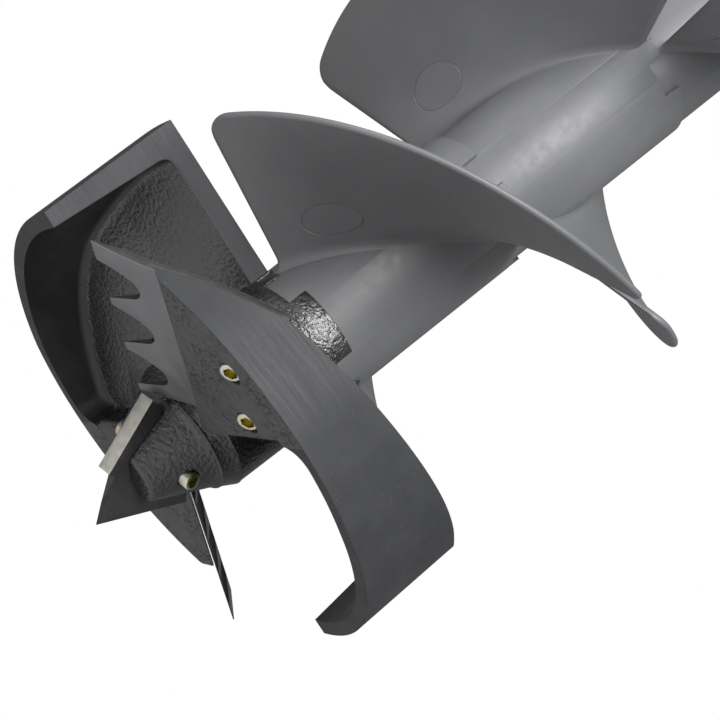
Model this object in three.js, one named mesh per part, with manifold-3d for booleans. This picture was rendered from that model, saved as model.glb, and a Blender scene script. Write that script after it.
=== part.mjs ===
// Ice fishing auger: a cast cutting head with two serrated blades and a centre point, a stack of
// castellated plastic flight segments clamped by a tie rod, and a quick-release hex drive.
// Millimetres, +Z up the auger. Heights are measured up from the tip of the centre point; the
// finished group is lowered so that its origin is the middle of the hex shank's end face.

import * as THREE from 'three';
import { mergeVertices } from 'three/addons/utils/BufferGeometryUtils.js';
import Module from 'manifold-3d';

const wasm = await Module();
wasm.setup();

// ---- driving dimensions -------------------------------------------------------------------

const TOTAL_LENGTH = 924;
const GAP = 0.3;                       // clearance between touching pieces

// Castellated joints between the head, the segments and the top cap
const LUG_COUNT = 4;
const TAB_ANGLE = 30;                  // width of a tab, and of the slot between two lugs
const LUG_DEPTH = 7.8;
const FIRST_JOINT = 107;               // height of the lug tops on the cutting head
const TAB_CENTRE = 229.3;              // azimuth of one tab of the first segment

// Flight segments
const SEGMENT_COUNT = 8;
const SEGMENT_PITCH = 88;
const SEGMENT_TWIST = 120;
const LEAD = 264;
const TUBE_BOTTOM_R = 27;
const TUBE_TOP_R = 28.4;
const TUBE_BORE_R = 23.5;
const FLIGHT_R = 92.7;
const FLIGHT_THICKNESS = 3;
const FLIGHT_SPAN = 110;               // azimuth covered by one flight of a segment
const FLIGHT_START = -20.5;            // flight's first edge, from the tab's centre
const FLIGHT_LIFT = 4;                 // middle of that edge, above the joint
const FLIGHT_CORNER = 9;

// Cutting head, in a frame whose +X runs out along the cutting edge and whose +Y trails it
const CUTTER_AZIMUTH = 232.7;
const SKIRT_R = 94;
const SKIRT_BOTTOM = 44.7;
const RIM_RISE = 3.2;                  // how far the skirt's rim rises to its trailing edge
const RIM_RISE_START = 80;             // azimuth where that rise begins
const HUB_R = 27.7;
const HUB_WAIST_R = 26.2;
const HUB_WAIST = 50;
const HUB_BOTTOM = 43.6;
const HUB_CAVITY_R = 17;
const HUB_FLOOR = 62;
const NOSE_TOP_R = 22.4;
const NOSE_TIP_R = 11.5;
const NOSE_BOTTOM = 20;
const WEDGE_FRONT = 13;                // where the casting starts to back the blade
const SCOOP_START = 56.3;              // azimuth of the scoop's front wall
const SCOOP_END = 144.9;               // azimuth of the wing's trailing edge
const WING_TOP = [[33.9, 68], [63.3, 76.5], [94.3, 85.7], [114.3, 91], [SCOOP_END, 107]];
const WING_THICKNESS = 8;
const WING_BLEND = 35;                 // azimuth over which the top leaves the blade's slope
const WING_UNDERSIDE = [[SCOOP_START, 55.5], [89, 67], [108, 75], [120, 88], [SCOOP_END, 99]];

// Serrated blades: tilted about their cutting edge
const BLADE_THICKNESS = 3;
const BLADE_HEIGHT = 41.3;             // underside of the blade above the edge line y = 0
const BLADE_TILT = 26.5;
const BLADE_SLOPE = Math.tan(THREE.MathUtils.degToRad(BLADE_TILT));
const BLADE_REAR = 52.4;               // y of the blade's rear edge at its outer corner
const BLADE_REAR_X = 76.2;
const TOOTH_TIPS = [29.4, 51.2, 73.6, 101];   // outer corners of the chisel ends
const TOOTH_WIDTH = 3.4;
const OUTER_TOOTH_WIDTH = 9;
const BLADE_INNER = 18;
const TOOTH_Y = -6.6;
const GULLET_Y = 4.7;
const SCREW_SPOTS = [[66.5, 38.4], [42.9, 39.9]];
const SCREW_R = 2.5;
const SCREW_HEAD_R = 4;
const SCREW_HEAD_H = 5;
const BLADE_NUT_FLATS = 8;
const BLADE_NUT_H = 4;

// Centre point and its screws
const POINT_THICKNESS = 6;
const POINT_HALF_WIDTH = 28.5;
const POINT_SHOULDER = 36.5;
const POINT_TIP_X = -5.8;              // the tip is ground to one side of the axis
const POINT_STEP = [[8.6, 13.1], [11.6, 11.4]];   // where that grinding starts
const NOSE_SCREW_HEIGHT = 33;
const NOSE_SCREW_SEAT = 11;            // under the head, from the auger's axis
const NOSE_SCREW_HEAD_R = 3.4;
const NOSE_SCREW_R = 2.5;

// Tie rod and drive end
const ROD_R = 6;
const ROD_BOTTOM = 50.3;
const STACK_TOP = FIRST_JOINT + SEGMENT_COUNT * SEGMENT_PITCH;
const CAP_TOP = STACK_TOP + 10;
const CAP_FLOOR = CAP_TOP + 5;
const SPIGOT_R = 17;
const SPIGOT_BORE_R = 12;
const SPIGOT_TOP = STACK_TOP + 50;
const WASHER_R = 11;
const WASHER_H = 2.5;
const NUT_FLATS = 19;
const NUT_H = 10;
const CUP_R = 21;
const CUP_BOTTOM = CAP_TOP + 2;
const CUP_TOP = SPIGOT_TOP + 9;
const BOSS_R = 12;
const BOSS_TOP = CUP_TOP + 14;
const SHANK_FLATS = 12.7;
const SHANK_ROOT_R = 5.8;              // turned end that the boss holds
const SHANK_CHAMFER = 1.2;
const PIN_R = 2;
const PIN_HEIGHT = CUP_TOP + 7;
const BUTTON_HEIGHT = STACK_TOP + 38;
const BUTTON_R = 4;
const BUTTON_REACH = 22.8;
const BUTTON_FLANGE_R = 5;
const BUTTON_FLANGE = [8.4, 10.2];
const SPRING_R = 3.4;
const SPRING_BORE_R = 2.4;
const SPRING_BACK = -11.2;

// ---- small helpers ------------------------------------------------------------------------

const rad = THREE.MathUtils.degToRad;

function toSolid(geometry) {
  const bare = geometry.clone();
  bare.deleteAttribute('normal');
  bare.deleteAttribute('uv');
  const merged = mergeVertices(bare, 1e-4);
  const index = merged.index.array;
  const kept = [];
  for (let i = 0; i < index.length; i += 3) {
    const [a, b, c] = [index[i], index[i + 1], index[i + 2]];
    if (a !== b && b !== c && c !== a) kept.push(a, b, c);
  }
  return new wasm.Manifold(new wasm.Mesh({
    numProp: 3,
    vertProperties: new Float32Array(merged.attributes.position.array),
    triVerts: new Uint32Array(kept),
  }));
}

function toGeometry(solid) {
  const mesh = solid.getMesh();
  const geometry = new THREE.BufferGeometry();
  geometry.setAttribute('position', new THREE.BufferAttribute(mesh.vertProperties, 3));
  geometry.setIndex(new THREE.BufferAttribute(mesh.triVerts, 1));
  return geometry;
}

// A solid of revolution about Z from [radius, height] points, listed up the outside
function turned(points, steps = 32) {
  const profile = points.map(([r, z]) => new THREE.Vector2(r, z));
  return new THREE.LatheGeometry(profile, steps).rotateX(Math.PI / 2);
}

function tube(inner, outer, bottom, top, steps = 32) {
  return turned([[outer, bottom], [outer, top], [inner, top], [inner, bottom], [outer, bottom]], steps);
}

function rod(radius, bottom, top, steps = 24) {
  return turned([[0, bottom], [radius, bottom], [radius, top], [0, top]], steps);
}

// A hexagonal bar along Z, given its distance across flats
function hexBar(flats, bottom, top) {
  const shape = new THREE.Shape();
  const corner = flats / Math.sqrt(3);
  for (let i = 0; i < 6; i += 1) {
    const angle = rad(60 * i);
    if (i === 0) shape.moveTo(corner, 0);
    else shape.lineTo(corner * Math.cos(angle), corner * Math.sin(angle));
  }
  return new THREE.ExtrudeGeometry(shape, { depth: top - bottom, bevelEnabled: false })
    .translate(0, 0, bottom);
}

// A block bent into polar form: place(u, v, w) gives [radius, degrees, height] for 0..1 inputs
function polarBlock(steps, place) {
  const box = new THREE.BoxGeometry(1, 1, 1, steps[0], steps[1], steps[2]);
  const position = box.attributes.position;
  for (let i = 0; i < position.count; i += 1) {
    const u = position.getX(i) + 0.5;
    const v = position.getY(i) + 0.5;
    const w = position.getZ(i) + 0.5;
    const [r, degrees, z] = place(u, v, w);
    position.setXYZ(i, r * Math.cos(rad(degrees)), r * Math.sin(rad(degrees)), z);
  }
  return box;
}

const mix = (a, b, t) => a + (b - a) * t;

// Height at an azimuth, along a run of straight stretches
function heightAt(points, degrees) {
  let i = 1;
  while (i < points.length - 1 && degrees > points[i][0]) i += 1;
  const [a, za] = points[i - 1];
  const [b, zb] = points[i];
  return mix(za, zb, (degrees - a) / (b - a));
}

// Four ring sectors of one width, used to cut the castellations
function sectors(centre, width, inner, outer, bottom, top) {
  const cuts = [];
  for (let k = 0; k < LUG_COUNT; k += 1) {
    const middle = centre + (360 / LUG_COUNT) * k;
    const block = polarBlock([1, 2, 1], (u, v, w) => [
      mix(inner, outer, u),
      middle + width * (v - 0.5),
      mix(bottom, top, w),
    ]);
    cuts.push(toSolid(block));
  }
  return cuts;
}

function cutAll(solid, cuts) {
  return cuts.reduce((rest, cut) => rest.subtract(cut), solid);
}

// Clearance at a radius, as an angle
const gapAngle = (radius) => THREE.MathUtils.radToDeg(GAP / radius);

// The tabs at the bottom of a segment or cap, whose body starts at the joint height
function cutTabs(solid, joint, outer) {
  const width = 360 / LUG_COUNT - TAB_ANGLE + 2 * gapAngle(TUBE_BOTTOM_R);
  return cutAll(solid, sectors(180 / LUG_COUNT, width, 0.5 * outer, 1.5 * outer,
    joint - 2 * LUG_DEPTH, joint + GAP));
}

// The slots between the lugs at the top of the head or a segment
function cutLugs(solid, joint, centre, inner) {
  return cutAll(solid, sectors(centre, TAB_ANGLE, 0.8 * inner, 1.5 * TUBE_TOP_R,
    joint - LUG_DEPTH, joint + LUG_DEPTH));
}

// ---- materials ----------------------------------------------------------------------------

const finish = (color, roughness, metalness) => ({ color, roughness, metalness });
const CASTING = finish(0x1c1d1f, 0.6, 0.55);
const BLADE_STEEL = finish(0x84868a, 0.38, 0.9);
const BARE_STEEL = finish(0x9a9a98, 0.4, 0.9);
const YELLOW_ZINC = finish(0xb59a5a, 0.3, 0.9);
const PLASTIC = finish(0x46484b, 0.5, 0);
const ZINC = finish(0xa9acb0, 0.35, 0.9);
const BLACK_STEEL = finish(0x26272a, 0.45, 0.7);

const auger = new THREE.Group();
auger.position.z = -TOTAL_LENGTH;

function addPiece(parent, name, geometry, material) {
  const mesh = new THREE.Mesh(geometry, new THREE.MeshStandardMaterial(material));
  mesh.name = name;
  parent.add(mesh);
  return mesh;
}

// ---- serrated blade -----------------------------------------------------------------------

// Blade outlines are drawn on the tilted plane; distances down the slope are longer than in plan
const slant = (y) => y / Math.cos(rad(BLADE_TILT));

function bladeShape() {
  const tip = slant(TOOTH_Y);
  const root = slant(GULLET_Y);
  const last = TOOTH_TIPS.at(-1);
  const shape = new THREE.Shape();
  shape.moveTo(BLADE_INNER, slant(BLADE_REAR - 9));
  shape.lineTo(BLADE_INNER, slant(24));
  shape.lineTo(22, slant(13.8));
  shape.lineTo(TOOTH_TIPS[0] - TOOTH_WIDTH, tip);
  for (let i = 0; i < TOOTH_TIPS.length - 1; i += 1) {
    const x = TOOTH_TIPS[i];
    const next = TOOTH_TIPS[i + 1];
    const width = next === last ? OUTER_TOOTH_WIDTH : TOOTH_WIDTH;
    shape.lineTo(x, tip);
    shape.lineTo(x + 0.9, root - 4);
    shape.quadraticCurveTo(x + 1.2, root, x + 5.5, root);
    shape.quadraticCurveTo(next - width - 8, root, next - width, tip);
  }
  shape.lineTo(last, tip);
  shape.quadraticCurveTo(last - 7.5, slant(5), last - 9.8, slant(14));
  shape.quadraticCurveTo(last - 13.3, slant(35), BLADE_REAR_X, slant(BLADE_REAR));
  shape.closePath();
  for (const [screwX, screwY] of SCREW_SPOTS) {
    const hole = new THREE.Path();
    hole.absarc(screwX, slant(screwY), SCREW_R + GAP, 0, 2 * Math.PI, true);
    shape.holes.push(hole);
  }
  return shape;
}

function tilt(geometry) {
  return geometry.rotateX(rad(BLADE_TILT)).translate(0, 0, BLADE_HEIGHT);
}

function makeBlade() {
  const flat = new THREE.ExtrudeGeometry(bladeShape(), {
    depth: BLADE_THICKNESS,
    bevelEnabled: false,
    curveSegments: 6,
  });
  return tilt(flat);
}

// A screw stands square to the blade, with the face of its head level with the wedge's underside
function screwFace([, y]) {
  const drop = BLADE_HEIGHT + BLADE_SLOPE * y - SKIRT_BOTTOM;
  return -drop / Math.cos(rad(BLADE_TILT));
}

function makeBladeScrew([x, y]) {
  const face = screwFace([x, y]);
  const top = BLADE_THICKNESS + GAP + BLADE_NUT_H + 1;
  const profile = [
    [0, face],
    [SCREW_HEAD_R, face],
    [SCREW_HEAD_R, face + SCREW_HEAD_H],
    [SCREW_R, face + SCREW_HEAD_H],
    [SCREW_R, top],
    [0, top],
  ];
  return tilt(turned(profile, 20).translate(x, slant(y), 0));
}

function makeBladeNut([x, y]) {
  const bottom = BLADE_THICKNESS + GAP;
  const bar = toSolid(hexBar(BLADE_NUT_FLATS, bottom, bottom + BLADE_NUT_H));
  const hole = toSolid(rod(SCREW_R + GAP, bottom - 1, bottom + BLADE_NUT_H + 1, 20));
  return tilt(toGeometry(bar.subtract(hole)).translate(x, slant(y), 0));
}

// ---- cutting head -------------------------------------------------------------------------

// Solid wedge under the blade, from its front edge to the scoop's front wall
function makeWedge() {
  const footprint = new THREE.Shape();
  const frontAngle = Math.asin(WEDGE_FRONT / SKIRT_R);
  const wallAngle = rad(SCOOP_START + 1);
  footprint.moveTo(HUB_CAVITY_R, WEDGE_FRONT);
  footprint.absarc(0, 0, SKIRT_R, frontAngle, wallAngle, false);
  footprint.lineTo(HUB_R * 0.85 * Math.cos(wallAngle), HUB_R * 0.85 * Math.sin(wallAngle));
  footprint.closePath();
  const block = new THREE.ExtrudeGeometry(footprint, {
    depth: SKIRT_R / 2,
    bevelEnabled: false,
    curveSegments: 16,
  }).translate(0, 0, SKIRT_BOTTOM);

  // Everything above the blade's seat, then above a gentler slope behind the blade
  const seat = (y) => BLADE_HEIGHT + BLADE_SLOPE * y - GAP;
  const above = new THREE.Shape();
  above.moveTo(-SKIRT_R, seat(-SKIRT_R));
  above.lineTo(BLADE_REAR + 1, seat(BLADE_REAR + 1));
  above.lineTo(SKIRT_R + 1, seat(BLADE_REAR + 1) + 0.22 * (SKIRT_R - BLADE_REAR));
  above.lineTo(SKIRT_R + 1, 2 * SKIRT_R);
  above.lineTo(-SKIRT_R, 2 * SKIRT_R);
  above.closePath();
  const prism = new THREE.ExtrudeGeometry(above, { depth: 3 * SKIRT_R, bevelEnabled: false })
    .rotateX(Math.PI / 2)
    .rotateZ(Math.PI / 2)
    .translate(-SKIRT_R, 0, 0);
  return toSolid(block).subtract(toSolid(prism));
}

// Top of the wing: level with the blade at first, then a helix that meets the first flight
function wingTop(radius, angle) {
  const helix = heightAt(WING_TOP, angle);
  const slope = BLADE_HEIGHT + BLADE_SLOPE * radius * Math.sin(rad(angle)) + BLADE_THICKNESS;
  const blend = THREE.MathUtils.smoothstep(angle, SCOOP_START, SCOOP_START + WING_BLEND);
  return mix(Math.min(slope, helix), helix, blend);
}

// Floor of the scoop: its top carries the ice on to the flights
function makeFloor() {
  return toSolid(polarBlock([5, 18, 1], (u, v, w) => {
    const radius = mix(HUB_CAVITY_R + 5, SKIRT_R - 2, u);
    const angle = mix(SCOOP_START, SCOOP_END, v);
    const top = wingTop(radius, angle);
    const under = Math.min(heightAt(WING_UNDERSIDE, angle), top - WING_THICKNESS);
    return [radius, angle, mix(under, top, w)];
  }));
}

function rimHeight(angle) {
  const rise = (angle - RIM_RISE_START) / (SCOOP_END - RIM_RISE_START);
  return SKIRT_BOTTOM + RIM_RISE * Math.max(0, rise);
}

// Outer skirt, thin at its rim and thicker where it meets the floor
function makeSkirt() {
  return toSolid(polarBlock([1, 18, 1], (u, v, w) => {
    const angle = mix(SCOOP_START - 1, SCOOP_END, v);
    const wall = mix(4 + 2 * v, 9 + v, w);
    return [SKIRT_R - wall * (1 - u), angle, mix(rimHeight(angle), wingTop(SKIRT_R, angle), w)];
  }));
}

// Milled seat for one blade, open above so that the blade can be screwed down
function makeBladePocket() {
  const outline = new THREE.Shape();
  outline.moveTo(22 - GAP, -30);
  outline.lineTo(110, -30);
  outline.lineTo(110, slant(BLADE_REAR + 0.5));
  outline.lineTo(BLADE_INNER - GAP, slant(BLADE_REAR + 0.5));
  outline.lineTo(BLADE_INNER - GAP, slant(23.7));
  outline.lineTo(22 - GAP, slant(13.5));
  outline.closePath();
  const pocket = new THREE.ExtrudeGeometry(outline, { depth: 30, bevelEnabled: false });
  return toSolid(tilt(pocket.translate(0, 0, -GAP)));
}

// Clearance hole with a counterbore for the screw's head
function makeScrewHole([x, y]) {
  const shoulder = screwFace([x, y]) + SCREW_HEAD_H + GAP;
  const hole = turned([
    [0, shoulder - 20],
    [SCREW_HEAD_R + GAP, shoulder - 20],
    [SCREW_HEAD_R + GAP, shoulder],
    [SCREW_R + GAP, shoulder],
    [SCREW_R + GAP, 12],
    [0, 12],
  ], 20);
  return toSolid(tilt(hole.translate(x, slant(y), 0)));
}

function makeCuttingHead() {
  const hub = toSolid(turned([
    [0, NOSE_BOTTOM],
    [NOSE_TIP_R, NOSE_BOTTOM],
    [NOSE_TOP_R, HUB_BOTTOM],
    [HUB_WAIST_R, HUB_WAIST],
    [HUB_R, FIRST_JOINT],
    [HUB_CAVITY_R, FIRST_JOINT],
    [HUB_CAVITY_R, HUB_FLOOR],
    [ROD_R + GAP, HUB_FLOOR],
    [ROD_R + GAP, ROD_BOTTOM - GAP],
    [0, ROD_BOTTOM - GAP],
  ]));
  let head = cutLugs(hub, FIRST_JOINT, TAB_CENTRE - CUTTER_AZIMUTH, HUB_CAVITY_R);
  for (const side of [0, 180]) {
    const wing = makeWedge().add(makeFloor()).add(makeSkirt());
    const cavity = toSolid(rod(HUB_CAVITY_R + 2, HUB_FLOOR - 2, 2 * FIRST_JOINT, 48));
    const cuts = [makeBladePocket(), ...SCREW_SPOTS.map(makeScrewHole)];
    head = head.add(wing.subtract(cavity).rotate([0, 0, side]));
    head = cutAll(head, cuts.map((cut) => cut.rotate([0, 0, side])));
  }
  const slot = new THREE.BoxGeometry(4 * NOSE_TOP_R, POINT_THICKNESS + 2 * GAP, 30)
    .translate(0, 0, POINT_SHOULDER + 2 + GAP - 15);
  const screws = rod(NOSE_SCREW_HEAD_R + GAP, -40, 40).rotateX(Math.PI / 2)
    .translate(0, 0, NOSE_SCREW_HEIGHT);
  return toGeometry(cutAll(head, [toSolid(slot), toSolid(screws)]));
}

// ---- centre point -------------------------------------------------------------------------

function makeCentrePoint() {
  const outline = new THREE.Shape();
  outline.moveTo(POINT_TIP_X, 0);
  for (const [x, y] of [[1.4, 3.6], [2.6, 5.2], [5.4, 9.6], ...POINT_STEP]) outline.lineTo(x, y);
  outline.lineTo(POINT_HALF_WIDTH, POINT_SHOULDER);
  outline.lineTo(POINT_HALF_WIDTH - 6, POINT_SHOULDER + 2);
  outline.lineTo(-POINT_HALF_WIDTH + 6, POINT_SHOULDER + 2);
  outline.lineTo(-POINT_HALF_WIDTH, POINT_SHOULDER);
  outline.closePath();
  const hole = new THREE.Path();
  hole.absarc(0, NOSE_SCREW_HEIGHT, NOSE_SCREW_R + GAP, 0, 2 * Math.PI, true);
  outline.holes.push(hole);
  const plate = new THREE.ExtrudeGeometry(outline, {
    depth: POINT_THICKNESS,
    bevelEnabled: false,
    curveSegments: 10,
  })
    .rotateX(Math.PI / 2)
    .translate(0, POINT_THICKNESS / 2, 0);
  return toGeometry(toSolid(plate).subtract(makePointGrinding()));
}

// What is ground off the leading face below the step, which leaves the tip on the other face
function makePointGrinding() {
  const normal = new THREE.Vector3(-0.6, 1.372, 1).normalize();
  const turn = new THREE.Quaternion().setFromUnitVectors(new THREE.Vector3(0, 0, 1), normal);
  const below = new THREE.BoxGeometry(80, 80, 40)
    .translate(0, 0, -20)
    .applyQuaternion(turn)
    .translate(0, 0, 7.59);
  const [[x1, z1], [x2, z2]] = POINT_STEP;
  const slope = (z2 - z1) / (x2 - x1);
  const limit = new THREE.Shape();
  limit.moveTo(x2, z2);
  limit.lineTo(-15, z2 + slope * (-15 - x2));
  limit.lineTo(-15, -5);
  limit.lineTo(x2, -5);
  limit.closePath();
  const side = new THREE.ExtrudeGeometry(limit, { depth: 20, bevelEnabled: false })
    .rotateX(Math.PI / 2)
    .translate(0, 10, 0);
  return toSolid(below).intersect(toSolid(side));
}

// One of two screws that meet inside the centre point's hole; its head lies in the nose
function makeNoseScrew() {
  const seat = NOSE_SCREW_SEAT;
  const profile = [
    [0, GAP],
    [NOSE_SCREW_R, GAP],
    [NOSE_SCREW_R, seat],
    [NOSE_SCREW_HEAD_R, seat],
    [NOSE_SCREW_HEAD_R, seat + 9],
    [0, seat + 9],
  ];
  return turned(profile, 20).rotateX(-Math.PI / 2).translate(0, 0, NOSE_SCREW_HEIGHT);
}

// ---- flight segment -----------------------------------------------------------------------

// One helical flight with rounded outer corners; stations crowd towards its two ends
function makeFlight(start) {
  const steps = 15;
  return toSolid(polarBlock([1, steps, 1], (u, v, w) => {
    const along = FLIGHT_SPAN * 0.5 * (1 - Math.cos(Math.PI * v));
    const fromEnd = FLIGHT_R * rad(Math.min(along, FLIGHT_SPAN - along));
    const inCorner = Math.max(0, FLIGHT_CORNER - fromEnd);
    const rim = FLIGHT_R - FLIGHT_CORNER + Math.sqrt(FLIGHT_CORNER ** 2 - inCorner ** 2);
    const height = FIRST_JOINT + FLIGHT_LIFT + (LEAD * along) / 360;
    return [
      mix(TUBE_BORE_R + 1.5, rim, u),
      start + along,
      height + FLIGHT_THICKNESS * (w - 0.5),
    ];
  }));
}

function makeSegment() {
  const top = FIRST_JOINT + SEGMENT_PITCH;
  const bottom = FIRST_JOINT - LUG_DEPTH + GAP;
  let body = toSolid(turned([
    [TUBE_BOTTOM_R, bottom],
    [TUBE_TOP_R, top],
    [TUBE_BORE_R, top],
    [TUBE_BORE_R, bottom],
    [TUBE_BOTTOM_R, bottom],
  ]));
  body = cutTabs(body, FIRST_JOINT, TUBE_TOP_R);
  body = cutLugs(body, top, SEGMENT_TWIST, TUBE_BORE_R);
  for (const side of [0, 180]) body = body.add(makeFlight(FLIGHT_START + side));
  return toGeometry(body);
}

// ---- tie rod and drive end ----------------------------------------------------------------

function makeTopCap() {
  const bottom = STACK_TOP - LUG_DEPTH + GAP;
  const body = toSolid(turned([
    [ROD_R + GAP, bottom],
    [TUBE_BOTTOM_R, bottom],
    [TUBE_BOTTOM_R, CAP_TOP - 3],
    [TUBE_BOTTOM_R - 3, CAP_TOP],
    [SPIGOT_R, CAP_TOP],
    [SPIGOT_R, SPIGOT_TOP],
    [SPIGOT_BORE_R, SPIGOT_TOP],
    [SPIGOT_BORE_R, CAP_FLOOR],
    [ROD_R + GAP, CAP_FLOOR],
    [ROD_R + GAP, bottom],
  ]));
  const buttonHole = rod(BUTTON_R + GAP, 0, 2 * CUP_R, 20).rotateY(Math.PI / 2)
    .translate(0, 0, BUTTON_HEIGHT);
  const core = toSolid(rod(TUBE_BORE_R - GAP, bottom - 1, STACK_TOP + GAP, 48));
  const rim = cutTabs(body.subtract(core), STACK_TOP, TUBE_TOP_R);
  const turn = TAB_CENTRE + SEGMENT_TWIST * SEGMENT_COUNT;
  return toGeometry(rim.rotate([0, 0, turn]).subtract(toSolid(buttonHole)));
}

function makeDriveAdapter() {
  const inner = SPIGOT_R + GAP;
  const shankR = SHANK_ROOT_R + GAP;
  const body = toSolid(turned([
    [CUP_R, CUP_BOTTOM],
    [CUP_R, CUP_TOP - 3],
    [CUP_R - 3, CUP_TOP],
    [BOSS_R, CUP_TOP],
    [BOSS_R, BOSS_TOP],
    [shankR, BOSS_TOP],
    [shankR, SPIGOT_TOP + GAP],
    [inner, SPIGOT_TOP + GAP],
    [inner, CUP_BOTTOM],
    [CUP_R, CUP_BOTTOM],
  ]));
  const buttonHole = rod(BUTTON_R + GAP, 0, 2 * CUP_R, 20).rotateY(Math.PI / 2)
    .translate(0, 0, BUTTON_HEIGHT);
  return toGeometry(cutAll(body, [toSolid(buttonHole), makePinHole()]));
}

function makePinHole() {
  return toSolid(rod(PIN_R + GAP, -2 * BOSS_R, 2 * BOSS_R, 16).rotateY(Math.PI / 2)
    .translate(0, 0, PIN_HEIGHT));
}

// Hex bar with a turned end below it, held in the adapter's boss by a cross pin
function makeHexShank() {
  const bottom = SPIGOT_TOP + 1;
  const shoulder = BOSS_TOP + GAP;
  const corner = SHANK_FLATS / Math.sqrt(3);
  const bar = toSolid(hexBar(SHANK_FLATS, shoulder, TOTAL_LENGTH));
  const envelope = toSolid(turned([
    [0, shoulder - 1],
    [corner + 1, shoulder - 1],
    [corner + 1, TOTAL_LENGTH - SHANK_CHAMFER - 1],
    [corner - SHANK_CHAMFER, TOTAL_LENGTH],
    [0, TOTAL_LENGTH],
  ], 24));
  const root = toSolid(rod(SHANK_ROOT_R, bottom, shoulder + 1));
  return toGeometry(bar.intersect(envelope).add(root).subtract(makePinHole()));
}

function makeNut() {
  const bottom = CAP_FLOOR + WASHER_H + 2 * GAP;
  const bar = toSolid(hexBar(NUT_FLATS, bottom, bottom + NUT_H));
  return toGeometry(bar.subtract(toSolid(rod(ROD_R + GAP, bottom - 1, bottom + NUT_H + 1))));
}

function makeButton() {
  const profile = [
    [0, BUTTON_FLANGE[0]],
    [BUTTON_FLANGE_R, BUTTON_FLANGE[0]],
    [BUTTON_FLANGE_R, BUTTON_FLANGE[1]],
    [BUTTON_R, BUTTON_FLANGE[1]],
    [BUTTON_R, BUTTON_REACH - 1.5],
    [BUTTON_R - 1.5, BUTTON_REACH],
    [0, BUTTON_REACH],
  ];
  return turned(profile, 20).rotateY(Math.PI / 2).translate(0, 0, BUTTON_HEIGHT);
}

// ---- assembly -----------------------------------------------------------------------------

const head = new THREE.Group();
head.rotation.z = rad(CUTTER_AZIMUTH);
auger.add(head);

addPiece(head, 'cutting_head', makeCuttingHead(), CASTING);
addPiece(head, 'center_point', makeCentrePoint(), BARE_STEEL);
for (const [i, side] of [0, 180].entries()) {
  const half = new THREE.Group();
  half.rotation.z = rad(side);
  head.add(half);
  addPiece(half, `serrated_blade_${i + 1}`, makeBlade(), BLADE_STEEL);
  addPiece(half, `center_screw_${i + 1}`, makeNoseScrew(), YELLOW_ZINC);
  for (const [k, spot] of SCREW_SPOTS.entries()) {
    addPiece(half, `blade_screw_${2 * i + k + 1}`, makeBladeScrew(spot), YELLOW_ZINC);
    addPiece(half, `blade_nut_${2 * i + k + 1}`, makeBladeNut(spot), YELLOW_ZINC);
  }
}

for (let i = 0; i < SEGMENT_COUNT; i += 1) {
  const segment = addPiece(auger, `flight_segment_${i + 1}`, makeSegment(), PLASTIC);
  segment.rotation.z = rad(TAB_CENTRE + SEGMENT_TWIST * i);
  segment.position.z = SEGMENT_PITCH * i;
}

const rodTop = CAP_FLOOR + WASHER_H + NUT_H + 4;
addPiece(auger, 'tie_rod', rod(ROD_R, ROD_BOTTOM, rodTop), ZINC);
addPiece(auger, 'tie_rod_washer',
  tube(ROD_R + GAP, WASHER_R, CAP_FLOOR + GAP, CAP_FLOOR + GAP + WASHER_H, 24), ZINC);
addPiece(auger, 'tie_rod_nut', makeNut(), ZINC);
addPiece(auger, 'top_cap', makeTopCap(), PLASTIC);
addPiece(auger, 'drive_adapter', makeDriveAdapter(), BLACK_STEEL);
addPiece(auger, 'hex_shank', makeHexShank(), ZINC);
addPiece(auger, 'shank_pin',
  rod(PIN_R, -BOSS_R + 0.5, BOSS_R - 0.5, 16).rotateY(Math.PI / 2).translate(0, 0, PIN_HEIGHT),
  BLACK_STEEL);
addPiece(auger, 'snap_button', makeButton(), ZINC);
addPiece(auger, 'button_spring',
  tube(SPRING_BORE_R, SPRING_R, SPRING_BACK, BUTTON_FLANGE[0] - GAP, 16)
    .rotateY(Math.PI / 2).translate(0, 0, BUTTON_HEIGHT),
  ZINC);

export default auger;
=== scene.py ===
"""Ice fishing auger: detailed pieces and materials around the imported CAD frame.

Shapes are worked out in millimetres, with heights measured up from the tip of the centre point,
and turned into metres in the frame of the CAD model when each mesh is made.
"""

import math

import bpy
import bmesh
import numpy as np
from mathutils import Matrix, Vector


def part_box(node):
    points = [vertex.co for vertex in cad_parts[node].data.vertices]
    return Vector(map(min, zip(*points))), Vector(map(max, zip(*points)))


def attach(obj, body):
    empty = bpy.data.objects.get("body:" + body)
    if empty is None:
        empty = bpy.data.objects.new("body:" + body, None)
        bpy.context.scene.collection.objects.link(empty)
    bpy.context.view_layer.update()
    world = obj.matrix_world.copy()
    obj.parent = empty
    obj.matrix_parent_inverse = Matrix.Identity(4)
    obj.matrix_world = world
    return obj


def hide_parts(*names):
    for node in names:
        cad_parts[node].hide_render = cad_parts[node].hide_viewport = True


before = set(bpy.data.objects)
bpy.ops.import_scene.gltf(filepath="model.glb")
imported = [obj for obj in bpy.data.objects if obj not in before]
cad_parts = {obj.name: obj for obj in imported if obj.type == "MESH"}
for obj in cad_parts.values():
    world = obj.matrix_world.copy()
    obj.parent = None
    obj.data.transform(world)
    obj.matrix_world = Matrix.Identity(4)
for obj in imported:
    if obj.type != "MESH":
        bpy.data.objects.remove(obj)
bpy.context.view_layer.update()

MM = 0.001
TIP_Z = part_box("center_point")[0].z          # height 0 of the shapes below, in metres

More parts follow.
